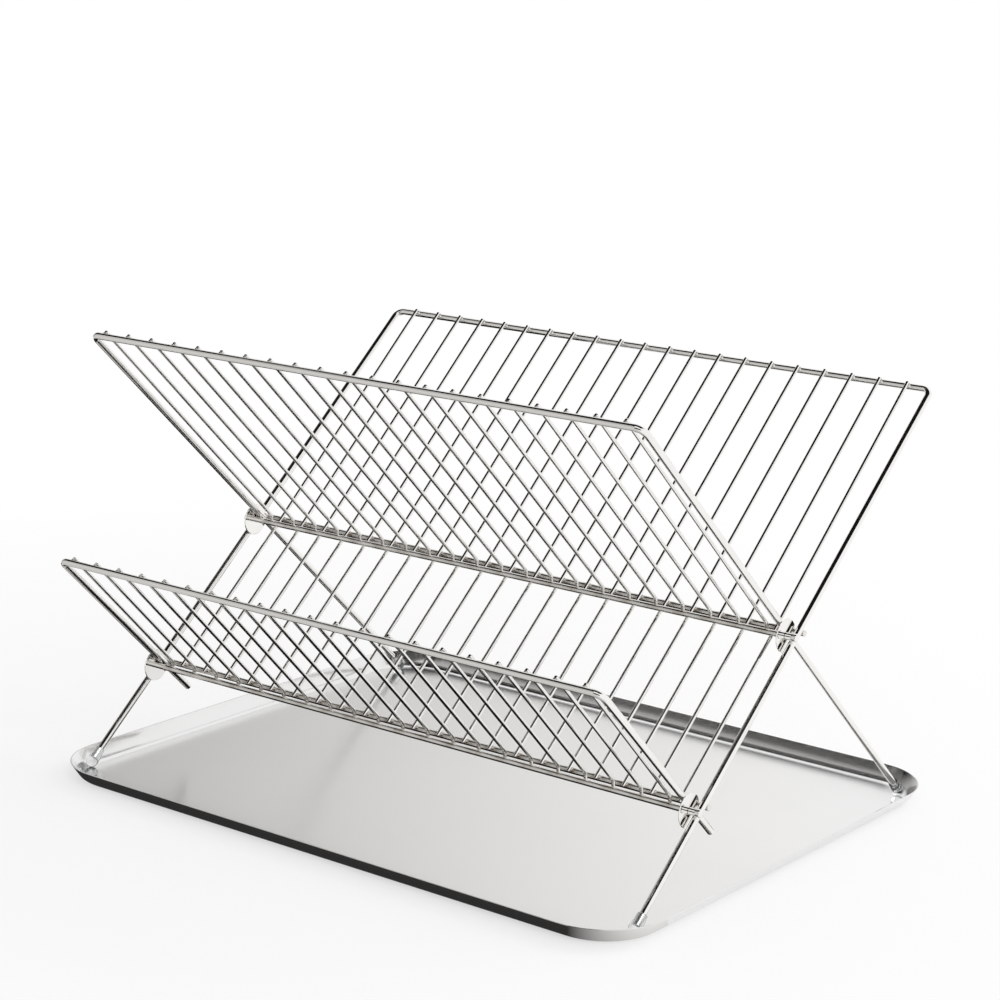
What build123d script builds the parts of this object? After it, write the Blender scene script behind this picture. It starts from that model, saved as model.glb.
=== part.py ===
"""Folding dish rack: three hinged frames of steel rod and wire that stand in a drip tray.

Millimetres. X runs along the rack, the front faces -Y and Z is up. The origin is under the
middle of the tray.
"""

import os
from math import cos, radians, sin, tan

from build123d import *

# Drip tray, which reaches these distances beyond the middle of the feet
TRAY_SIDE = 13.0
TRAY_FRONT = 33.0
TRAY_BACK = 26.2
RIM_HEIGHT = 11.2
RIM_FLARE = 34.0
RIM_BEND = 8.0
TRAY_CORNER = 44.0
SHEET = 0.8

# Rods and wires
ROD = 4.5
CROSS_ROD = 4.0
WIRE = 2.5
ROD_BEND = 6.0
WIRE_COUNT = 21
WIRE_EDGE = 18.0
WIRE_SHIFT = 1.5
WIRE_STUB = 0.9
WIRE_TIP = 0.4
WIRE_BEND = 4.0
PANEL_BEND = 200.0

# Main frame, which leans back from the front feet
FRAME_WIDTH = 450.0
FRAME_LEAN = 40.8
RAIL_LENGTH = 425.3
UPPER_PIVOT = 218.2
LOWER_PIVOT = 86.8
LEDGE_WIRE_END = 1.0

# Upper and lower rack, which lean forward
LEG_GAP = 1.9
UPPER_LEAN = 42.9
UPPER_REACH = 218.2
LOWER_LEAN = 44.0
LOWER_REACH = 127.1
LOWER_TAIL = 36.0
HOOK_RISE = 2.5
HOOK_DROP = 1.5

# Pivots
JOURNAL = 3.0
SLEEVE = 4.8
SLEEVE_LENGTH = 4.2
DISC = 21.8
DISC_THICKNESS = 0.9
DISC_EDGE = 0.3
END_CAP = 5.2
END_CAP_LENGTH = 3.6
END_CAP_BORE = 2.4
END_CAP_CROWN = 1.0

# Foot caps
FOOT = 8.5
FOOT_NECK = 6.2
FOOT_LENGTH = 10.0
FOOT_SOLE = 1.8

# Clearances
WELD_GAP = 0.05
STOP_GAP = 0.3
SEAT_GAP = 0.3
RUN_GAP = 0.2
PIVOT_FIT = 0.05
CAP_FIT = 0.05

# Places worked out from the sizes above
rail_x = FRAME_WIDTH / 2
leg_x = rail_x - ROD - LEG_GAP
shoulder_x = leg_x + ROD / 2 + WELD_GAP
sleeve_x = shoulder_x + DISC_THICKNESS + RUN_GAP
end_cap_x = sleeve_x + SLEEVE_LENGTH + RUN_GAP
rim_spread = RIM_HEIGHT * tan(radians(RIM_FLARE))
rim_inset = SHEET / cos(radians(RIM_FLARE)) - SHEET * tan(radians(RIM_FLARE))
sleeve_offset = ROD / 2 + SLEEVE / 2 + WELD_GAP
leg_offset = ROD / 2 + CROSS_ROD / 2 + WELD_GAP
ledge_offset = ROD / 2 + CROSS_ROD / 2 + WELD_GAP
wire_on_rod = ROD / 2 + WIRE / 2 + WELD_GAP
wire_on_cross = CROSS_ROD / 2 + WIRE / 2 + WELD_GAP
wire_pitch = (FRAME_WIDTH - 2 * WIRE_EDGE) / (WIRE_COUNT - 1)

# The X of the legs in the side view, from the front foot on the tray's floor
foot_height = FOOT / 2 + SEAT_GAP
front_foot = foot_height / sin(radians(FRAME_LEAN))
crossing_y = UPPER_PIVOT * cos(radians(FRAME_LEAN)) - sleeve_offset * sin(radians(FRAME_LEAN))
crossing_z = UPPER_PIVOT * sin(radians(FRAME_LEAN)) + sleeve_offset * cos(radians(FRAME_LEAN))
leg_y = crossing_y + leg_offset * sin(radians(UPPER_LEAN))
leg_z = crossing_z + leg_offset * cos(radians(UPPER_LEAN))
rear_foot = (leg_z - foot_height) / sin(radians(UPPER_LEAN))
foot_spread = leg_y + rear_foot * cos(radians(UPPER_LEAN)) - front_foot * cos(radians(FRAME_LEAN))
tray_length = FRAME_WIDTH + 2 * TRAY_SIDE
tray_depth = foot_spread + TRAY_FRONT + TRAY_BACK
frame_y = TRAY_FRONT - tray_depth / 2 - front_foot * cos(radians(FRAME_LEAN))

# Local x runs along the rack, local y up the rail and local z out of the front of the frame.
frame_plane = Plane(
    origin=(0, frame_y, SHEET),
    x_dir=(1, 0, 0),
    z_dir=(0, -sin(radians(FRAME_LEAN)), cos(radians(FRAME_LEAN))),
)


def rack_plane(along_rail, lean):
    """Plane of a hinged rack's pivot axis: local y runs up the rack, local -z faces the main frame."""
    pivot = frame_plane.from_local_coords((0, along_rail, sleeve_offset))
    return Plane(
        origin=pivot,
        x_dir=(1, 0, 0),
        z_dir=(0, -sin(radians(lean)), -cos(radians(lean))),
    )


def ledge_height(along_rail, lean):
    """Distance up the rail at which a ledge rod rests on the legs of an open rack."""
    crossing = radians(FRAME_LEAN + lean)
    behind_pivot = sleeve_offset + ledge_offset
    over_pivot = leg_offset + ROD / 2 + CROSS_ROD / 2 + STOP_GAP
    return along_rail + (over_pivot + behind_pivot * cos(crossing)) / sin(crossing)


upper_plane = rack_plane(UPPER_PIVOT, UPPER_LEAN)
lower_plane = rack_plane(LOWER_PIVOT, LOWER_LEAN)
upper_ledge = ledge_height(UPPER_PIVOT, UPPER_LEAN)
lower_ledge = ledge_height(LOWER_PIVOT, LOWER_LEAN)


def write(builder, name):
    """Name a finished piece and write it to its own file."""
    builder.part.label = name
    export_step(builder.part, f"parts/{name}.step")


def flared_pan(height, inset, bend):
    """Flared solid from a height up to the rim: inset is how far its floor stays inside the rim."""
    with BuildPart() as pan:
        with BuildSketch(Plane.XY.offset(height)):
            RectangleRounded(tray_length - 2 * inset, tray_depth - 2 * inset, TRAY_CORNER - inset)
        extrude(amount=RIM_HEIGHT - height, taper=-RIM_FLARE)
        fillet(pan.edges().group_by(Axis.Z)[0], radius=bend)
    return pan


def bent_rod(plane, half_width, start, reach):
    """One rod bent into a U: two legs from start up to reach, and the bar across their tops."""
    with BuildPart() as rod:
        with BuildLine(plane) as path:
            FilletPolyline(
                (-half_width, start),
                (-half_width, reach),
                (half_width, reach),
                (half_width, start),
                radius=ROD_BEND,
            )
        with BuildSketch(path.line ^ 0):
            Circle(ROD / 2)
        sweep(path=path.line)
    return rod


def straight_rod(plane, diameter, length):
    """One straight rod along the rack, centred on the plane's origin."""
    with BuildPart() as rod:
        with BuildSketch(Plane(origin=plane.origin, x_dir=plane.y_dir, z_dir=(1, 0, 0))):
            Circle(diameter / 2)
        extrude(amount=length / 2, both=True)
    return rod


def wire_row(points, bend, shift):
    """A row of equal bent wires, spaced along the rack: points are their corners in the side view."""
    side_view = Plane(origin=(shift, 0, 0), x_dir=(0, 1, 0), z_dir=(1, 0, 0))
    with BuildPart() as wire:
        with BuildLine(side_view) as path:
            FilletPolyline(*[(point.X, point.Y) for point in points], radius=bend)
        with BuildSketch(path.line ^ 0):
            Circle(WIRE / 2)
        sweep(path=path.line)
        chamfer(wire.faces().filter_by(GeomType.PLANE).edges(), length=WIRE_TIP)
    with BuildPart() as row:
        with GridLocations(wire_pitch, 0, WIRE_COUNT, 1):
            add(wire.part)
    return row


def side_point(plane, up, out):
    """Place in the side view of a point of a frame, up along it and out along its normal."""
    place = plane.from_local_coords(Vector(0, up, out))
    return Vector(place.Y, place.Z)


def stub_end(start, on_bar):
    """Upper end of a wire that runs from start and ends a little past the middle of a top bar."""
    return on_bar + (on_bar - start).normalized() * WIRE_STUB


def rack_wires(plane, reach):
    """Wires of a hinged rack: they start above its top bar and hook down behind its pivot rod."""
    behind_rod = plane.origin.Y + wire_on_cross
    bend = Vector(behind_rod, plane.origin.Z + CROSS_ROD / 2 + HOOK_RISE)
    end = Vector(behind_rod, plane.origin.Z - HOOK_DROP)
    top = stub_end(bend, side_point(plane, reach, -leg_offset - wire_on_rod))
    return wire_row([top, bend, end], WIRE_BEND, -WIRE_SHIFT)


def pivot_rod(plane):
    """Straight rod under the rack's legs, turned down at both ends to the pivots' journals."""
    journal_end = end_cap_x + END_CAP_BORE - CAP_FIT
    with BuildPart() as rod:
        add(straight_rod(plane, CROSS_ROD, 2 * shoulder_x).part)
        add(straight_rod(plane, JOURNAL, 2 * journal_end).part)
    return rod


def axle_plane(plane, distance, side):
    """Plane across the pivot axis, a distance out from the middle and facing that side."""
    return Plane(
        origin=plane.origin + Vector(side * distance, 0, 0),
        x_dir=plane.y_dir,
        z_dir=(side, 0, 0),
    )


def pivot_disc(plane, side):
    """Polished disc on the journal, between the rack's leg and the rail."""
    seat = axle_plane(plane, shoulder_x, side)
    with BuildPart() as disc:
        with BuildSketch(seat):
            Circle(DISC / 2)
            Circle(JOURNAL / 2 + PIVOT_FIT, mode=Mode.SUBTRACT)
        extrude(amount=DISC_THICKNESS)
        chamfer(disc.edges().filter_by(GeomType.CIRCLE).group_by(SortBy.RADIUS)[-1], length=DISC_EDGE)
    return disc


def pivot_sleeve(plane, side):
    """Short tube on the front of the rail, in which the journal turns."""
    start = axle_plane(plane, sleeve_x, side)
    with BuildPart() as sleeve:
        with BuildSketch(start):
            Circle(SLEEVE / 2)
            Circle(JOURNAL / 2 + PIVOT_FIT, mode=Mode.SUBTRACT)
        extrude(amount=SLEEVE_LENGTH)
    return sleeve


def end_cap(plane, side):
    """Rounded cap pushed on the end of the journal."""
    seat = axle_plane(plane, end_cap_x, side)
    with BuildPart() as cap:
        with BuildSketch(seat):
            Circle(END_CAP / 2)
        extrude(amount=END_CAP_LENGTH)
        crown = cap.faces().sort_by(Axis.X)[-1 if side > 0 else 0]
        fillet(crown.edges(), radius=END_CAP_CROWN)
        with BuildSketch(seat):
            Circle(JOURNAL / 2 + CAP_FIT)
        extrude(amount=END_CAP_BORE, mode=Mode.SUBTRACT)
    return cap


def foot_cap(axis_plane):
    """Bell-shaped plastic cap on a leg's end: local x points up the leg from the round end's centre."""
    bore = ROD / 2 + CAP_FIT
    with BuildPart() as cap:
        with BuildSketch(axis_plane):
            with BuildLine():
                Line((FOOT_SOLE, 0), (FOOT_SOLE, bore))
                Line((FOOT_SOLE, bore), (FOOT_LENGTH, bore))
                Line((FOOT_LENGTH, bore), (FOOT_LENGTH, FOOT_NECK / 2))
                Line((FOOT_LENGTH, FOOT_NECK / 2), (0, FOOT / 2))
                CenterArc((0, 0), FOOT / 2, 90, 90)
                Line((-FOOT / 2, 0), (FOOT_SOLE, 0))
            make_face()
        revolve(axis=Axis(axis_plane.origin, axis_plane.x_dir))
    return cap


os.makedirs("parts", exist_ok=True)

# Drip tray: the pan's outside, less the same flared form one sheet further in
tray_inside = flared_pan(SHEET, rim_spread + rim_inset, RIM_BEND - SHEET)
with BuildPart() as drip_tray:
    add(flared_pan(0, rim_spread, RIM_BEND).part)
    add(tray_inside.part, mode=Mode.SUBTRACT)
write(drip_tray, "drip_tray")

# Main frame
write(bent_rod(frame_plane, rail_x, front_foot + FOOT_SOLE + CAP_FIT, RAIL_LENGTH), "main_frame_rod")

for name, height in (("upper", upper_ledge), ("lower", lower_ledge)):
    seat = Plane(
        origin=frame_plane.from_local_coords((0, height, -ledge_offset)),
        x_dir=(1, 0, 0),
        z_dir=frame_plane.z_dir,
    )
    write(straight_rod(seat, CROSS_ROD, FRAME_WIDTH + ROD), f"{name}_ledge_rod")

panel_depth = wire_on_cross - ledge_offset
panel_bend = side_point(frame_plane, upper_ledge, panel_depth)
panel_end = side_point(frame_plane, lower_ledge - CROSS_ROD / 2 - LEDGE_WIRE_END, panel_depth)
panel_top = stub_end(panel_bend, side_point(frame_plane, RAIL_LENGTH, wire_on_rod))
write(wire_row([panel_top, panel_bend, panel_end], PANEL_BEND, WIRE_SHIFT), "main_panel_wires")

# Upper and lower rack
upper_leg_plane = upper_plane.offset(-leg_offset)
lower_leg_plane = lower_plane.offset(-leg_offset)
upper_leg_end = FOOT_SOLE + CAP_FIT - rear_foot
write(bent_rod(upper_leg_plane, leg_x, upper_leg_end, UPPER_REACH), "upper_rack_rod")
write(bent_rod(lower_leg_plane, leg_x, -LOWER_TAIL, LOWER_REACH), "lower_rack_rod")
write(rack_wires(upper_plane, UPPER_REACH), "upper_rack_wires")
write(rack_wires(lower_plane, LOWER_REACH), "lower_rack_wires")

# Pivots
for name, plane in (("upper", upper_plane), ("lower", lower_plane)):
    write(pivot_rod(plane), f"{name}_pivot_rod")
    for hand, side in (("left", -1), ("right", 1)):
        write(pivot_disc(plane, side), f"{name}_pivot_disc_{hand}")
        write(pivot_sleeve(plane, side), f"{name}_pivot_sleeve_{hand}")
        write(end_cap(plane, side), f"{name}_end_cap_{hand}")

# Foot caps
for hand, side in (("left", -1), ("right", 1)):
    front_axis = Plane(
        origin=frame_plane.from_local_coords((side * rail_x, front_foot, 0)),
        x_dir=frame_plane.y_dir,
        z_dir=(1, 0, 0),
    )
    write(foot_cap(front_axis), f"front_foot_cap_{hand}")
    rear_axis = Plane(
        origin=upper_leg_plane.from_local_coords((side * leg_x, -rear_foot, 0)),
        x_dir=upper_leg_plane.y_dir,
        z_dir=(1, 0, 0),
    )
    write(foot_cap(rear_axis), f"rear_foot_cap_{hand}")
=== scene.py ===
"""Looks of the folding dish rack: round rods and wires, welds, satin tray and a plain studio."""

import math

import bpy
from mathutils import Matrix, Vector


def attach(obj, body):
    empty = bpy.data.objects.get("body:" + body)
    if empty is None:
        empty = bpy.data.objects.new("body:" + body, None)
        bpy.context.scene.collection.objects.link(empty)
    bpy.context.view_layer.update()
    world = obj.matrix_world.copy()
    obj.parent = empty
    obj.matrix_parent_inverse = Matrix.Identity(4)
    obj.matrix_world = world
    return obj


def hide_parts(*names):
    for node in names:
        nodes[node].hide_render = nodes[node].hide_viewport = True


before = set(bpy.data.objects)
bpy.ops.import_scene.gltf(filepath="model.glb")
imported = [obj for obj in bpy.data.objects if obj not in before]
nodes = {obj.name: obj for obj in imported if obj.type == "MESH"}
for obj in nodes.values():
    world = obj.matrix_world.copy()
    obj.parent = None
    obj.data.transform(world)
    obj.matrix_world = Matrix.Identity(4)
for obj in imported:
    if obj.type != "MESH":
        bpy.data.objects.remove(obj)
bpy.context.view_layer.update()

MM = 0.001

# Sizes of the model, in millimetres
FRAME_WIDTH, RAIL_LENGTH = 450.0, 425.3
ROD, CROSS_ROD, WIRE, JOURNAL = 4.5, 4.0, 2.5, 3.0
ROD_BEND, WIRE_BEND, PANEL_BEND = 6.0, 4.0, 200.0
WIRE_COUNT, WIRE_EDGE, WIRE_SHIFT = 21, 18.0, 1.5
WIRE_STUB, WIRE_TIP, LEDGE_WIRE_END = 0.9, 0.4, 1.0
FRAME_LEAN, UPPER_LEAN, LOWER_LEAN = 40.8, 42.9, 44.0
UPPER_PIVOT, LOWER_PIVOT = 218.2, 86.8
UPPER_REACH, LOWER_REACH, LOWER_TAIL = 218.2, 127.1, 36.0
LEG_GAP, HOOK_RISE, HOOK_DROP = 1.9, 2.5, 1.5
SLEEVE, SLEEVE_LENGTH, DISC_THICKNESS, END_CAP_BORE = 4.8, 4.2, 0.9, 2.4
FOOT, FOOT_SOLE = 8.5, 1.8
TRAY_SIDE, TRAY_FRONT, TRAY_BACK = 13.0, 33.0, 26.2
RIM_HEIGHT, RIM_FLARE, RIM_BEND, TRAY_CORNER, SHEET = 11.2, 34.0, 8.0, 44.0, 0.8
WELD_GAP, STOP_GAP, SEAT_GAP, RUN_GAP, CAP_FIT = 0.05, 0.3, 0.3, 0.2, 0.05

# Small forms that only the scene has: half sizes of a weld bead, and the tray's broken lip edge
WELD_BEAD = (1.7, 1.45, 0.75)
LIP_EDGE = 0.25

# Fineness of the meshes
ROD_SIDES, CROSS_SIDES, WIRE_SIDES = 28, 24, 16
ROD_BEND_STEPS, WIRE_BEND_STEPS = 14, 8
BEAD_SIDES, BEAD_ROWS = 10, 6
CORNER_STEPS, RIM_BEND_STEPS = 12, 8
SMOOTH_ANGLE, TRAY_SMOOTH_ANGLE = 40.0, 30.0

# Places worked out from the sizes
rail_x = FRAME_WIDTH / 2
leg_x = rail_x - ROD - LEG_GAP
shoulder_x = leg_x + ROD / 2 + WELD_GAP
journal_end = shoulder_x + DISC_THICKNESS + SLEEVE_LENGTH + 2 * RUN_GAP + END_CAP_BORE - CAP_FIT
sleeve_offset = ROD / 2 + SLEEVE / 2 + WELD_GAP
leg_offset = ROD / 2 + CROSS_ROD / 2 + WELD_GAP
ledge_offset = leg_offset
wire_on_rod = ROD / 2 + WIRE / 2 + WELD_GAP
wire_on_cross = CROSS_ROD / 2 + WIRE / 2 + WELD_GAP
wire_pitch = (FRAME_WIDTH - 2 * WIRE_EDGE) / (WIRE_COUNT - 1)
foot_height = FOOT / 2 + SEAT_GAP
foot_end = FOOT_SOLE + CAP_FIT


class Side:
    """A frame's plane in the side view: up runs along the frame and out is its normal."""

    def __init__(self, origin, up, out):
        self.origin, self.up, self.out = Vector(origin), Vector(up), Vector(out)

    def at(self, up, out, x=0.0):
        place = self.origin + self.up * up + self.out * out
        return Vector((x, place.x, place.y))


def turn(degrees):
    return math.cos(math.radians(degrees)), math.sin(math.radians(degrees))


frame_cos, frame_sin = turn(FRAME_LEAN)
upper_cos, upper_sin = turn(UPPER_LEAN)
front_foot = foot_height / frame_sin
leg_y = UPPER_PIVOT * frame_cos - sleeve_offset * frame_sin + leg_offset * upper_sin
leg_z = UPPER_PIVOT * frame_sin + sleeve_offset * frame_cos + leg_offset * upper_cos
rear_foot = (leg_z - foot_height) / upper_sin
foot_spread = leg_y + rear_foot * upper_cos - front_foot * frame_cos
tray_length = FRAME_WIDTH + 2 * TRAY_SIDE
tray_depth = foot_spread + TRAY_FRONT + TRAY_BACK
frame_y = TRAY_FRONT - tray_depth / 2 - front_foot * frame_cos

main = Side((frame_y, SHEET), (frame_cos, frame_sin), (-frame_sin, frame_cos))


def rack_side(along_rail, lean):
    """Side view of a hinged rack from its pivot: up along the rack, out towards the main frame."""
    pivot = main.at(along_rail, sleeve_offset)
    c, s = turn(lean)
    return Side((pivot.y, pivot.z), (-c, s), (s, c))


def ledge_height(along_rail, lean):
    """Distance up the rail of the ledge rod that rests on the legs of an open rack."""
    crossing = math.radians(FRAME_LEAN + lean)
    over_pivot = leg_offset + ROD / 2 + CROSS_ROD / 2 + STOP_GAP
    behind_pivot = sleeve_offset + ledge_offset
    return along_rail + (over_pivot + behind_pivot * math.cos(crossing)) / math.sin(crossing)


upper = rack_side(UPPER_PIVOT, UPPER_LEAN)
lower = rack_side(LOWER_PIVOT, LOWER_LEAN)
upper_ledge = ledge_height(UPPER_PIVOT, UPPER_LEAN)
lower_ledge = ledge_height(LOWER_PIVOT, LOWER_LEAN)


# Mesh building

def rounded(points, radius, steps):
    """Corner points with each inner corner turned into an arc of the radius."""
    path = [points[0]]
    for before, corner, after in zip(points, points[1:], points[2:]):
        back = (before - corner).normalized()
        ahead = (after - corner).normalized()
        half = back.angle(ahead) / 2
        centre = corner + (back + ahead).normalized() * (radius / math.sin(half))
        start = corner + back * (radius / math.tan(half)) - centre
        end = corner + ahead * (radius / math.tan(half)) - centre
        sweep = start.angle(end)
        for i in range(steps + 1):
            t = i / steps
            arm = start * math.sin((1 - t) * sweep) + end * math.sin(t * sweep)
            path.append(centre + arm / math.sin(sweep))
    path.append(points[-1])
    return path


def ring(centre, side, other, radius, sides):
    return [
        centre + (side * math.cos(a) + other * math.sin(a)) * radius
        for a in (2 * math.pi * i / sides for i in range(sides))
    ]


class Build:
    """Collects vertices and faces, in millimetres, for one piece."""

    def __init__(self):
        self.verts, self.faces = [], []

    def rings(self, rows):
        """Skins a list of rings with equal counts, and closes each end with one face."""
        base, count = len(self.verts), len(rows[0])
        for row in rows:
            self.verts += row
        for r in range(len(rows) - 1):
            for i in range(count):
                j = (i + 1) % count
                a, b = base + r * count, base + (r + 1) * count
                self.faces.append((a + i, a + j, b + j, b + i))
        last = base + (len(rows) - 1) * count
        self.faces.append(tuple(range(base + count - 1, base - 1, -1)))
        self.faces.append(tuple(range(last, last + count)))

    def tube(self, path, radius, sides, tip):
        """Round bar along a path, with its end edges broken by tip."""
        first = (path[1] - path[0]).normalized()
        last = (path[-1] - path[-2]).normalized()
        stations = [(path[0], radius - tip), (path[0] + first * tip, radius)]
        stations += [(place, radius) for place in path[1:-1]]
        stations += [(path[-1] - last * tip, radius), (path[-1], radius - tip)]
        side = first.orthogonal().normalized()
        rows, tangent = [], first
        for i, (place, r) in enumerate(stations):
            here = stations[min(i + 1, len(stations) - 1)][0] - stations[max(i - 1, 0)][0]
            here.normalize()
            side = (tangent.rotation_difference(here) @ side).normalized()
            tangent = here
            rows.append(ring(place, side, tangent.cross(side), r, sides))
        self.rings(rows)

    def lathe(self, centre, axis, profile, sides):
        """Turned form: profile holds (distance along the axis, radius) pairs."""
        axis = axis.normalized()
        side = axis.orthogonal().normalized()
        other = axis.cross(side)
        self.rings([ring(centre + axis * d, side, other, r, sides) for d, r in profile])

    def bead(self, centre, along, across, normal, sizes):
        """Rounded weld bead with the three half sizes."""
        circles = []
        for k in range(1, BEAD_ROWS):
            a = math.pi * k / BEAD_ROWS
            shift = along * (-math.cos(a) * sizes[0])
            circles.append([
                centre + shift
                + across * (math.cos(b) * math.sin(a) * sizes[1])
                + normal * (math.sin(b) * math.sin(a) * sizes[2])
                for b in (2 * math.pi * i / BEAD_SIDES for i in range(BEAD_SIDES))
            ])
        self.rings(circles)

    def piece(self, name, material, body, slot, replaces=None, sharp=SMOOTH_ANGLE):
        mesh = bpy.data.meshes.new(name)
        mesh.from_pydata([tuple(v * MM) for v in self.verts], [], self.faces)
        mesh.update()
        mesh.polygons.foreach_set("use_smooth", [True] * len(mesh.polygons))
        mesh.set_sharp_from_angle(angle=math.radians(sharp))
        mesh.materials.append(material)
        obj = bpy.data.objects.new(name, mesh)
        bpy.context.scene.collection.objects.link(obj)
        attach(obj, body)
        if replaces:
            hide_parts(replaces)


# Materials

class Nodes:
    """Small helper around one node tree."""

    def __init__(self, tree):
        self.tree = tree

    def node(self, kind, **values):
        """New node, with values for its inputs or its settings."""
        made = self.tree.nodes.new(kind)
        for key, value in values.items():
            if key in made.inputs:
                made.inputs[key].default_value = value
            else:
                setattr(made, key, value)
        return made

    def link(self, source, target):
        self.tree.links.new(source, target)

    def fill(self, sockets, values):
        """Sets or links each value that isn't None."""
        for socket, value in zip(sockets, values):
            if isinstance(value, (int, float)):
                socket.default_value = value
            elif isinstance(value, tuple):
                socket.default_value = (*value, 1.0)
            elif value is not None:
                self.link(value, socket)

    def place(self, scale=(1, 1, 1)):
        """Object coordinates, stretched."""
        mapping = self.node("ShaderNodeMapping", Scale=scale)
        coordinates = self.node("ShaderNodeTexCoord")
        self.link(coordinates.outputs["Object"], mapping.inputs["Vector"])
        return mapping.outputs["Vector"]

    def axis(self, index):
        """One of the three object coordinates."""
        split = self.node("ShaderNodeSeparateXYZ")
        self.link(self.place(), split.inputs[0])
        return split.outputs[index]

    def noise(self, vector, scale, detail, roughness=0.5):
        made = self.node("ShaderNodeTexNoise", Scale=scale, Detail=detail, Roughness=roughness)
        self.link(vector, made.inputs["Vector"])
        return made.outputs["Fac"]

    def remap(self, value, window, result):
        """Value with the window's two ends taken to the two results, and held beyond them."""
        keys = ("From Min", "From Max", "To Min", "To Max")
        made = self.node("ShaderNodeMapRange", **dict(zip(keys, (*window, *result))))
        self.link(value, made.inputs["Value"])
        return made.outputs["Result"]

    def math(self, operation, a, b=None):
        made = self.node("ShaderNodeMath", operation=operation)
        self.fill(made.inputs, (a, b))
        return made.outputs[0]

    def mix(self, factor, first, second):
        """Mix of two colours."""
        made = self.node("ShaderNodeMix", data_type="RGBA")
        self.link(factor, made.inputs["Factor"])
        self.fill([s for s in made.inputs if s.type == "RGBA"], (first, second))
        return [s for s in made.outputs if s.type == "RGBA"][0]

    def seen(self):
        """1 for what is seen, also in reflections and through plastic, and 0 for falling light."""
        ray = self.node("ShaderNodeLightPath").outputs
        shows = self.math("MAXIMUM", ray["Is Camera Ray"], ray["Is Glossy Ray"])
        return self.math("MAXIMUM", shows, ray["Is Transmission Ray"])


class Shader(Nodes):
    """One material and its nodes."""

    def __init__(self, name):
        self.material = bpy.data.materials.new(name)
        self.material.use_nodes = True
        super().__init__(self.material.node_tree)
        self.bsdf = self.tree.nodes["Principled BSDF"]
        self.surface = self.tree.nodes["Material Output"].inputs["Surface"]

    def set(self, **values):
        """Gives the shader's inputs a number, a colour or a link each."""
        for key, value in values.items():
            self.fill([self.bsdf.inputs[key.replace("_", " ")]], [value])

    def bump(self, height, strength, distance):
        made = self.node("ShaderNodeBump", Strength=strength, Distance=distance)
        self.link(height, made.inputs["Height"])
        self.set(Normal=made.outputs["Normal"])


STEEL, DULL_STEEL = (0.91, 0.90, 0.88), (0.84, 0.828, 0.804)
CROSS_STEEL, DULL_CROSS_STEEL = (0.80, 0.785, 0.758), (0.68, 0.662, 0.632)
TRAY_STEEL, DULL_TRAY_STEEL = (0.84, 0.839, 0.834), (0.80, 0.798, 0.791)
WELD_STEEL, SCORCHED_STEEL = (0.66, 0.645, 0.62), (0.50, 0.46, 0.41)
STRAW = (0.27, 0.215, 0.165)
CLEAR_PLASTIC, PLASTIC_IOR = (0.90, 0.915, 0.92), 1.47

# Heat tint on the cross rods: its strength, and its core and reach beside a weld in wire pitches
PANEL_HEAT, RACK_HEAT = 1.0, 0.45
HEAT_CORE, HEAT_REACH = 0.1, 0.36

# Noises: scale and detail, then the roughness that they give
ROD_CLOUDS, ROD_ROUGHNESS = (45.0, 4.0), (0.04, 0.09)
HEAT_SPECKS, HEAT_PATCHES = (160.0, 3.0), (0.3, 1.0)
TRAY_GRAIN, TRAY_ROUGHNESS = (6.0, 5.0, 0.6), (0.16, 0.19)
TRAY_SMUDGES, SMUDGE_ROUGHNESS = (7.0, 4.0, 0.6), (0.0, 0.03)
WELD_CLOUDS, WELD_ROUGHNESS = (300.0, 3.0), (0.16, 0.34)
PLASTIC_SCUFFS, PLASTIC_ROUGHNESS = (350.0, 4.0), (0.06, 0.22)
GRAIN_STRETCH = (6.0, 260.0, 260.0)

# Share of the duller colour, at most
ROD_DULLING, TRAY_DULLING, WELD_SCORCH = (0.0, 0.6), (0.0, 0.5), (0.0, 1.0)

# Strength and depth of the bumps, in metres
GRAIN_BUMP, WELD_BUMP, SCUFF_BUMP = (0.012, 0.0002), (0.25, 0.0004), (0.08, 0.0003)

# Parts of a noise's range
WIDE, NARROW, RAISED = (0.3, 0.7), (0.35, 0.65), (0.35, 0.75)
SMUDGED, SCUFFED = (0.35, 0.7), (0.4, 0.7)


def polished_steel(name, bright, dull, weld_shift=None, heat=0.0):
    """Polished rod steel with cloudy gloss, and with heat tint where wires are welded on."""
    s = Shader(name)
    clouds = s.noise(s.place(), *ROD_CLOUDS)
    colour = s.mix(s.remap(clouds, RAISED, ROD_DULLING), bright, dull)
    if weld_shift is not None:
        from_middle = s.math("SUBTRACT", s.axis(0), weld_shift * MM)
        along = s.math("DIVIDE", from_middle, wire_pitch * MM)
        off_weld = s.math("ABSOLUTE", s.math("SUBTRACT", along, s.math("ROUND", along)))
        tint = s.remap(off_weld, (HEAT_CORE, HEAT_REACH), (heat, 0.0))
        in_row = s.math("LESS_THAN", s.math("ABSOLUTE", along), WIRE_COUNT / 2)
        tint = s.math("MULTIPLY", tint, in_row)
        patches = s.remap(s.noise(s.place(), *HEAT_SPECKS), NARROW, HEAT_PATCHES)
        colour = s.mix(s.math("MULTIPLY", tint, patches), colour, STRAW)
    s.set(Metallic=1.0, Roughness=s.remap(clouds, WIDE, ROD_ROUGHNESS), Base_Color=colour)
    return s.material


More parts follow.
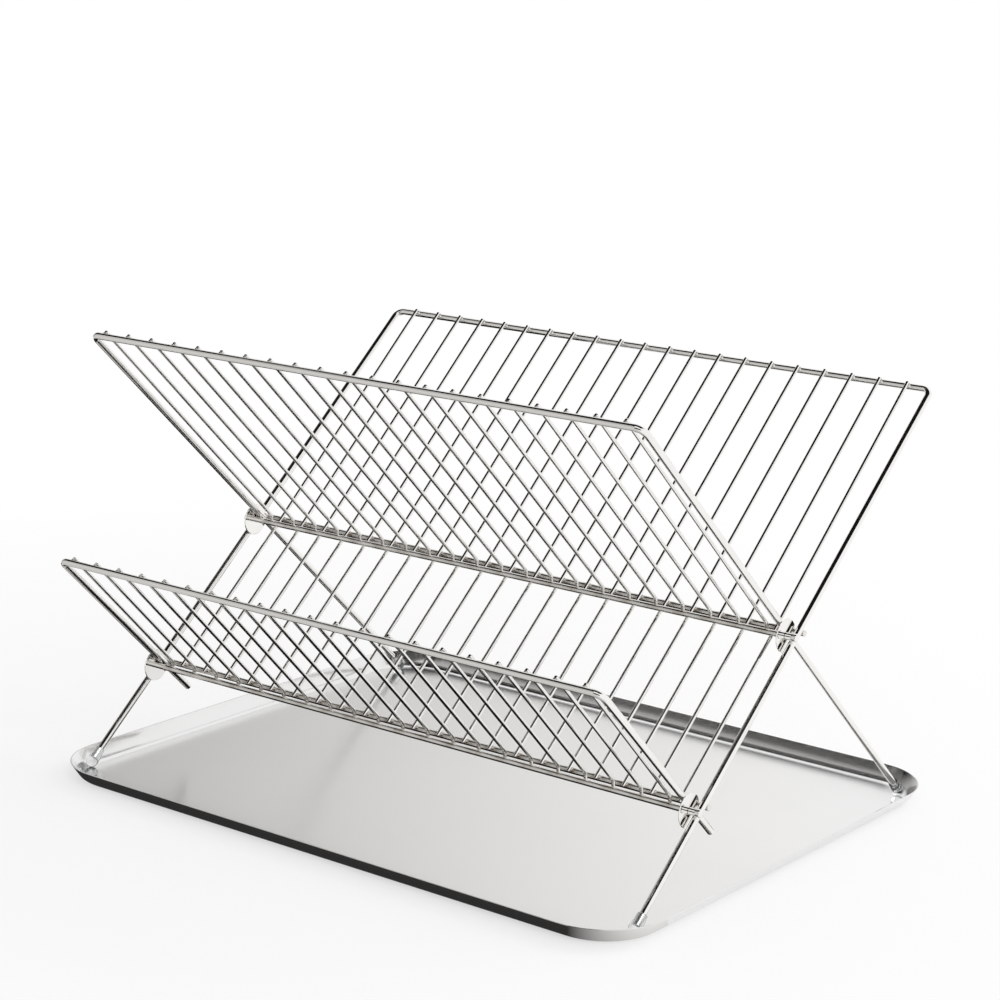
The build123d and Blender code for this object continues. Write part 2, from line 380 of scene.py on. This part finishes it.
def satin_tray():
    """Satin rolled sheet: fine lengthwise grain and soft smudges."""
    s = Shader("satin_tray_steel")
    grain = s.noise(s.place(GRAIN_STRETCH), *TRAY_GRAIN)
    smudge = s.noise(s.place(), *TRAY_SMUDGES)
    rough = s.math("ADD", s.remap(grain, WIDE, TRAY_ROUGHNESS),
                   s.remap(smudge, SMUDGED, SMUDGE_ROUGHNESS))
    colour = s.mix(s.remap(smudge, RAISED, TRAY_DULLING), TRAY_STEEL, DULL_TRAY_STEEL)
    s.set(Metallic=1.0, Roughness=rough, Base_Color=colour)
    s.bump(grain, *GRAIN_BUMP)
    return s.material


def weld_steel():
    """Small welds, dulled and tinted by heat."""
    s = Shader("weld_steel")
    clouds = s.noise(s.place(), *WELD_CLOUDS)
    colour = s.mix(s.remap(clouds, NARROW, WELD_SCORCH), WELD_STEEL, SCORCHED_STEEL)
    s.set(Metallic=1.0, Roughness=s.remap(clouds, WIDE, WELD_ROUGHNESS), Base_Color=colour)
    s.bump(clouds, *WELD_BUMP)
    return s.material


def clear_plastic():
    """Clear soft plastic with a faint haze and scuffs."""
    s = Shader("clear_foot_plastic")
    scuff = s.noise(s.place(), *PLASTIC_SCUFFS)
    s.set(Transmission_Weight=1.0, IOR=PLASTIC_IOR, Base_Color=CLEAR_PLASTIC)
    s.set(Roughness=s.remap(scuff, SCUFFED, PLASTIC_ROUGHNESS))
    s.bump(scuff, *SCUFF_BUMP)
    return s.material


rod_steel = polished_steel("polished_rod_steel", STEEL, DULL_STEEL)
panel_cross_steel = polished_steel(
    "welded_panel_steel", CROSS_STEEL, DULL_CROSS_STEEL, WIRE_SHIFT, PANEL_HEAT)
rack_cross_steel = polished_steel(
    "welded_rack_steel", CROSS_STEEL, DULL_CROSS_STEEL, -WIRE_SHIFT, RACK_HEAT)
tray_steel = satin_tray()
bead_steel = weld_steel()
foot_plastic = clear_plastic()

STEEL_SLOT, TRAY_SLOT = "polished_steel", "tray_steel"


# Rods

def bent_rod(side, out, half_width, start, reach):
    corners = [side.at(start, out, -half_width), side.at(reach, out, -half_width)]
    corners += [side.at(reach, out, half_width), side.at(start, out, half_width)]
    made = Build()
    made.tube(rounded(corners, ROD_BEND, ROD_BEND_STEPS), ROD / 2, ROD_SIDES, WIRE_TIP)
    return made


bent_rod(main, 0, rail_x, front_foot + foot_end, RAIL_LENGTH).piece(
    "main_frame_tube", rod_steel, "main_frame", STEEL_SLOT, "main_frame_rod")
bent_rod(upper, leg_offset, leg_x, foot_end - rear_foot, UPPER_REACH).piece(
    "upper_rack_tube", rod_steel, "upper_rack", STEEL_SLOT, "upper_rack_rod")
bent_rod(lower, leg_offset, leg_x, -LOWER_TAIL, LOWER_REACH).piece(
    "lower_rack_tube", rod_steel, "lower_rack", STEEL_SLOT, "lower_rack_rod")

for name, height in (("upper", upper_ledge), ("lower", lower_ledge)):
    ledge = Build()
    half = FRAME_WIDTH / 2 + ROD / 2
    ends = [main.at(height, -ledge_offset, -half), main.at(height, -ledge_offset, half)]
    ledge.tube(ends, CROSS_ROD / 2, CROSS_SIDES, WIRE_TIP)
    ledge.piece(f"{name}_ledge_bar", panel_cross_steel, "main_frame", STEEL_SLOT,
                f"{name}_ledge_rod")

for name, side in (("upper", upper), ("lower", lower)):
    bar = Build()
    thick, thin = CROSS_ROD / 2, JOURNAL / 2
    profile = [(-journal_end, thin), (-shoulder_x, thin), (-shoulder_x, thick)]
    profile += [(-d, r) for d, r in reversed(profile)]
    bar.lathe(side.at(0, 0), Vector((1, 0, 0)), profile, CROSS_SIDES)
    bar.piece(f"{name}_pivot_bar", rack_cross_steel, f"{name}_rack", STEEL_SLOT,
              f"{name}_pivot_rod")


# Wires and their welds

def wire_places(shift):
    """Places of the wires along the rack."""
    return [(i - (WIRE_COUNT - 1) / 2) * wire_pitch + shift for i in range(WIRE_COUNT)]


def stub_end(start, on_bar):
    """End of a wire that passes a little beyond the bar it is welded to."""
    return on_bar + (on_bar - start).normalized() * WIRE_STUB


def wire_row(corners, bend, shift):
    made = Build()
    path = rounded(corners, bend, WIRE_BEND_STEPS)
    for x in wire_places(shift):
        made.tube([p + Vector((x, 0, 0)) for p in path], WIRE / 2, WIRE_SIDES, WIRE_TIP)
    return made


def weld_row(rows, shift):
    """Beads where wires touch rods: rows hold (place, direction of the wire, rod to wire)."""
    made = Build()
    along_rod = Vector((1, 0, 0))
    for x in wire_places(shift):
        for place, along, normal in rows:
            made.bead(place + along_rod * x, along, along_rod, normal, WELD_BEAD)
    return made


panel_depth = wire_on_cross - ledge_offset
panel_bend = main.at(upper_ledge, panel_depth)
panel_end = main.at(lower_ledge - CROSS_ROD / 2 - LEDGE_WIRE_END, panel_depth)
panel_on_bar = main.at(RAIL_LENGTH, wire_on_rod)
panel_corners = [stub_end(panel_bend, panel_on_bar), panel_bend, panel_end]
wire_row(panel_corners, PANEL_BEND, WIRE_SHIFT).piece(
    "main_panel_bars", rod_steel, "main_frame", STEEL_SLOT, "main_panel_wires")

panel_front = Vector((0, main.out.x, main.out.y))
along_panel = Vector((0, main.up.x, main.up.y))
ledge_touch = CROSS_ROD / 2 - ledge_offset
weld_row([
    (main.at(RAIL_LENGTH, ROD / 2), along_panel, panel_front),
    (main.at(upper_ledge, ledge_touch), along_panel, panel_front),
    (main.at(lower_ledge, ledge_touch), along_panel, panel_front),
], WIRE_SHIFT).piece("main_panel_welds", bead_steel, "main_frame", STEEL_SLOT)

for name, side, reach in (("upper", upper, UPPER_REACH), ("lower", lower, LOWER_REACH)):
    pivot = side.at(0, 0)
    behind = Vector((0, pivot.y + wire_on_cross, 0))
    bend = behind + Vector((0, 0, pivot.z + CROSS_ROD / 2 + HOOK_RISE))
    end = behind + Vector((0, 0, pivot.z - HOOK_DROP))
    on_bar = side.at(reach, leg_offset + wire_on_rod)
    wire_row([stub_end(bend, on_bar), bend, end], WIRE_BEND, -WIRE_SHIFT).piece(
        f"{name}_rack_bars", rod_steel, f"{name}_rack", STEEL_SLOT, f"{name}_rack_wires")
    outward = Vector((0, side.out.x, side.out.y))
    along_wire = Vector((0, side.up.x, side.up.y))
    weld_row([
        (side.at(reach, leg_offset + ROD / 2), along_wire, outward),
        (pivot + Vector((0, CROSS_ROD / 2, 0)), Vector((0, 0, 1)), Vector((0, 1, 0))),
    ], -WIRE_SHIFT).piece(f"{name}_rack_welds", bead_steel, f"{name}_rack", STEEL_SLOT)


# Tray

def pan_row(half_length, half_depth, corner, height):
    """One level of the tray's outline, as a closed ring."""
    row = []
    for quarter in range(4):
        cx = (half_length - corner) * (1 if quarter in (0, 3) else -1)
        cy = (half_depth - corner) * (1 if quarter in (0, 1) else -1)
        for i in range(CORNER_STEPS + 1):
            a = math.radians(90 * quarter + 90 * i / CORNER_STEPS)
            row.append(Vector((cx + corner * math.cos(a), cy + corner * math.sin(a), height)))
    return row


flare_cos, flare_sin = turn(RIM_FLARE)
flare_tan = math.tan(math.radians(RIM_FLARE))


def pan_bend(height, floor_inset, bend):
    """Inset and height along the bend between the flared wall and the floor, from the wall down."""
    centre_inset = floor_inset + bend * math.tan(math.radians(90 - RIM_FLARE) / 2)
    rows = []
    for i in range(RIM_BEND_STEPS + 1):
        a = math.radians(RIM_FLARE + (90 - RIM_FLARE) * i / RIM_BEND_STEPS)
        rows.append((centre_inset - bend * math.cos(a), height + bend - bend * math.sin(a)))
    return rows


rim_spread = RIM_HEIGHT * flare_tan
rim_inset = SHEET / flare_cos - SHEET * flare_tan
inside_top = rim_spread + rim_inset - (RIM_HEIGHT - SHEET) * flare_sin / flare_cos
under_lip = RIM_HEIGHT - LIP_EDGE
inside = pan_bend(SHEET, rim_spread + rim_inset, RIM_BEND - SHEET)
outside = pan_bend(0.0, rim_spread, RIM_BEND)
levels = inside[::-1] + [(inside_top + LIP_EDGE * flare_sin, under_lip)]
levels += [(inside_top - LIP_EDGE, RIM_HEIGHT), (LIP_EDGE, RIM_HEIGHT)]
levels += [(LIP_EDGE * flare_sin, under_lip)] + outside
tray = Build()
tray.rings([
    pan_row(tray_length / 2 - inset, tray_depth / 2 - inset, TRAY_CORNER - inset, height)
    for inset, height in levels
])
tray.piece("drip_tray_sheet", tray_steel, "tray", TRAY_SLOT, "drip_tray", TRAY_SMOOTH_ANGLE)

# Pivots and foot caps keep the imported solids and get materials
for name, node in nodes.items():
    if "foot_cap" in name:
        node.data.materials.clear()
        node.data.materials.append(foot_plastic)
    elif "disc" in name or "sleeve" in name or "end_cap" in name:
        node.data.materials.clear()
        node.data.materials.append(rod_steel)


# Studio, in metres: a white floor, and dark flags and bright screens that only reflections see

X_AXIS, Y_AXIS, Z_AXIS = 0, 1, 2
REFLECTED_ONLY = {"visible_camera": False, "visible_diffuse": False, "visible_shadow": False}

# Floor: how much of its glow is seen, from under the tray to far from it
FLOOR_Z, FLOOR_SIZE = -0.0004, 6.0
FLOOR_WHITE, FLOOR_ROUGHNESS, FLOOR_GLOSS = (0.93, 0.93, 0.925), 0.9, 0.1
FLOOR_FADE, FLOOR_GLOW = (0.35, 0.9), (0.6, 1.0)

# Left wall, with the ceiling from its top
LEFT_X, LEFT_FRONT, LEFT_BACK = -1.7, -0.65, 0.9
DARK_TOP, DARK_FRONT = 1.95, 0.0
CEILING, TOP_FRONT, TOP_BACK, TOP_RIGHT, TOP_CUT = 2.3, -1.4, 0.8, 1.8, -1.1

# Front wall, and the slanted screens in front of and behind the left wall
FRONT_Y, FRONT_RIGHT, FRONT_TOP = -2.6, 2.0, 1.4
SCREEN_X, SCREEN_Y, SCREEN_TOP = -0.6, -2.2, 3.2
BACK_X, BACK_Y, BACK_TOP = -1.0, 2.0, 0.9

# Two flags before the front left screen: the lower one darkens the legs, the other the top bars
FLAG_GAP, FOLD_X, FOLD_Y, LEG_CUT, BAR_CUT = 0.02, -1.4, -1.04, 1.75, 2.05

# Mats on the floor beside and before the tray
MAT_GAP, MAT_LEFT, MAT_FRONT, MAT_BACK, MAT_Z = 0.005, -0.8, -0.12, 0.5, 0.0005
SIDE_SCREEN, RIM_REACH = 0.3, 0.006

# Shades under the tray's front rim and just over its floor
RIM_SIDE, RIM_FRONT, RIM_DEPTH = 0.01, 0.004, 0.06
SHADE_INSET, SHADE_BACK, SHADE_Z = 0.025, -0.01, 0.0011

# Glow of the cards: where it starts and ends, and how strong it is there
GLOW_COLOUR, DARK_GLOW, BLACK = (1.0, 0.985, 0.965, 1.0), 0.01, (0.01, 0.01, 0.01)
LEFT_FADE, LEFT_GLOW, LEFT_TOP_GLOW = (0.4, 1.2), (0.5, 0.0), (0.35, 0.0)
SCREEN_FADE, SCREEN_GLOW = (0.1, 2.2), (0.72, 0.38)
BACK_GLOW, MAT_GLOW = (0.38, 1.0), (0.75, 0.6)
RIM_FADE, RIM_GLOW = (0.195, 0.238), (0.03, 0.9)

# World: the light that it gives, and the white that is seen
WORLD_LIGHT, WORLD_WHITE = 0.75, 1.0


def card(name, corners, material, **hidden):
    mesh = bpy.data.meshes.new(name)
    mesh.from_pydata(corners, [], [tuple(range(len(corners)))])
    mesh.materials.append(material)
    obj = bpy.data.objects.new(name, mesh)
    bpy.context.scene.collection.objects.link(obj)
    for key, value in hidden.items():
        setattr(obj, key, value)
    return obj


def upright(name, start, end, bottom, top, material):
    """Card that stands upright from one place to another."""
    corners = [(*start, bottom), (*end, bottom), (*end, top), (*start, top)]
    card(name, corners, material, **REFLECTED_ONLY)


def level_card(name, outline, z, material):
    """Card that lies level, with its outline seen from above."""
    return card(name, [(x, y, z) for x, y in outline], material, **REFLECTED_ONLY)


def box(low, high):
    """Outline of a rectangle between two opposite corners."""
    return [low, (high[0], low[1]), high, (low[0], high[1])]


def glowing(name, axis, fade, glow):
    """Card material whose glow goes from one strength to another along an axis."""
    s = Shader(name)
    light = s.node("ShaderNodeEmission", Color=GLOW_COLOUR)
    s.link(s.remap(s.axis(axis), fade, glow), light.inputs["Strength"])
    s.link(light.outputs[0], s.surface)
    return s.material


def dark_from_above(name):
    """Black for what looks down on the card, and clear for what looks up through it."""
    s = Shader(name)
    blend = s.node("ShaderNodeMixShader")
    dark = s.node("ShaderNodeEmission", Strength=DARK_GLOW)
    clear = s.node("ShaderNodeBsdfTransparent")
    s.link(s.node("ShaderNodeNewGeometry").outputs["Backfacing"], blend.inputs[0])
    s.link(dark.outputs[0], blend.inputs[1])
    s.link(clear.outputs[0], blend.inputs[2])
    s.link(blend.outputs[0], s.surface)
    return s.material


def studio_floor():
    """White floor that takes shadows near the tray and fades into the white behind it."""
    s = Shader("studio_floor")
    s.set(Base_Color=FLOOR_WHITE, Roughness=FLOOR_ROUGHNESS, Specular_IOR_Level=FLOOR_GLOSS)
    away = s.node("ShaderNodeVectorMath", operation="LENGTH")
    s.link(s.place(), away.inputs[0])
    fade = s.remap(away.outputs["Value"], FLOOR_FADE, FLOOR_GLOW)
    blend = s.node("ShaderNodeMixShader")
    s.link(s.math("MULTIPLY", s.seen(), fade), blend.inputs[0])
    s.link(s.bsdf.outputs[0], blend.inputs[1])
    s.link(s.node("ShaderNodeEmission").outputs[0], blend.inputs[2])
    s.link(blend.outputs[0], s.surface)
    return s.material


def black_flag():
    s = Shader("black_flag")
    s.set(Base_Color=BLACK, Roughness=1.0, Specular_IOR_Level=0.0)
    return s.material


floor_outline = box((-FLOOR_SIZE, -FLOOR_SIZE), (FLOOR_SIZE, FLOOR_SIZE))
card("floor", [(x, y, FLOOR_Z) for x, y in floor_outline], studio_floor())

black = black_flag()
front_edge, side_edge = -tray_depth / 2 * MM, tray_length / 2 * MM
mat_right = -side_edge - MAT_GAP
left_front, left_back = (LEFT_X, LEFT_FRONT), (LEFT_X, LEFT_BACK)
fold = (FOLD_X, FOLD_Y)

upright("left_flag", left_front, left_back, 0.0, DARK_TOP,
        glowing("left_flag", Z_AXIS, LEFT_FADE, LEFT_GLOW))
upright("left_screen", left_front, left_back, DARK_TOP, CEILING,
        glowing("left_screen", Y_AXIS, (LEFT_FRONT, DARK_FRONT), LEFT_TOP_GLOW))
upright("front_flag", (SCREEN_X, FRONT_Y), (FRONT_RIGHT, FRONT_Y), 0.0, FRONT_TOP, black)
level_card("top_flag", [
    left_front, (TOP_CUT, TOP_FRONT), (TOP_RIGHT, TOP_FRONT), (TOP_RIGHT, TOP_BACK),
    (LEFT_X, TOP_BACK),
], CEILING, black)
upright("front_left_screen", left_front, (SCREEN_X, SCREEN_Y), 0.0, SCREEN_TOP,
        glowing("front_left_screen", Z_AXIS, SCREEN_FADE, SCREEN_GLOW))
upright("leg_flag", (LEFT_X + FLAG_GAP, LEFT_FRONT), fold, LEG_CUT, SCREEN_TOP, black)
upright("bar_flag", fold, (SCREEN_X + FLAG_GAP, SCREEN_Y), BAR_CUT, SCREEN_TOP, black)
upright("back_left_screen", left_back, (BACK_X, BACK_Y), 0.0, BACK_TOP,
        glowing("back_left_screen", Y_AXIS, (LEFT_BACK, BACK_Y), BACK_GLOW))

level_card("floor_flag", box((MAT_LEFT, MAT_FRONT), (mat_right, MAT_BACK)), MAT_Z, black)
level_card("floor_screen", [
    (LEFT_X, SCREEN_Y), (SIDE_SCREEN, SCREEN_Y), (SIDE_SCREEN, front_edge - RIM_REACH),
    (mat_right, front_edge - RIM_REACH), (mat_right, MAT_FRONT), (LEFT_X, MAT_FRONT),
], MAT_Z, glowing("floor_screen", Y_AXIS, (SCREEN_Y, MAT_FRONT), MAT_GLOW))
rim_low = (-side_edge - RIM_SIDE, front_edge - RIM_FRONT)
rim_high = (side_edge + RIM_SIDE, front_edge + RIM_DEPTH)
level_card("rim_shade", box(rim_low, rim_high), 0.0,
           glowing("rim_shade", X_AXIS, RIM_FADE, RIM_GLOW))
shade_low = (SHADE_INSET - side_edge, SHADE_INSET + front_edge)
shade_high = (side_edge - SHADE_INSET, SHADE_BACK)
tray_shade = level_card("tray_shade", box(shade_low, shade_high), SHADE_Z,
                        dark_from_above("tray_shade"))
tray_shade.visible_transmission = False

world = bpy.data.worlds.new("studio")
bpy.context.scene.world = world
world.use_nodes = True
sky = Nodes(world.node_tree)
background = sky.tree.nodes["Background"]
background.inputs["Color"].default_value = (1.0, 1.0, 1.0, 1.0)
white = sky.remap(sky.seen(), (0.0, 1.0), (WORLD_LIGHT, WORLD_WHITE))
sky.link(white, background.inputs["Strength"])

LAMP_AIM = (0.0, 0.0, 0.1)
WINDOW_PLACE, WINDOW_SIZE, WINDOW_WATTS = (0.9, 1.7, 1.3), (1.4, 1.0), 16
FILL_PLACE, FILL_SIZE, FILL_WATTS = (1.6, -1.2, 1.6), (1.2, 1.2), 10


def lamp(name, place, size, watts):
    data = bpy.data.lights.new(name, "AREA")
    data.shape = "RECTANGLE"
    data.size, data.size_y = size
    data.energy = watts
    obj = bpy.data.objects.new(name, data)
    obj.location = place
    obj.rotation_euler = (Vector(LAMP_AIM) - Vector(place)).to_track_quat("-Z", "Y").to_euler()
    obj.visible_glossy = False
    bpy.context.scene.collection.objects.link(obj)


lamp("window", WINDOW_PLACE, WINDOW_SIZE, WINDOW_WATTS)
lamp("fill", FILL_PLACE, FILL_SIZE, FILL_WATTS)

# Camera, fitted to the lines of the rods in the photograph
SENSOR, LENS = 36.0, 93.87
CAMERA_PLACE, CAMERA_TURN = (1.02003, -1.31879, 0.58539), (76.883, -1.261, 38.003)

camera = bpy.data.cameras.new("photo_camera")
camera.sensor_width, camera.lens = SENSOR, LENS
eye = bpy.data.objects.new("photo_camera", camera)
eye.location = CAMERA_PLACE
eye.rotation_euler = [math.radians(a) for a in CAMERA_TURN]
bpy.context.scene.collection.objects.link(eye)
bpy.context.scene.camera = eye
bpy.context.scene.view_settings.view_transform = "Standard"
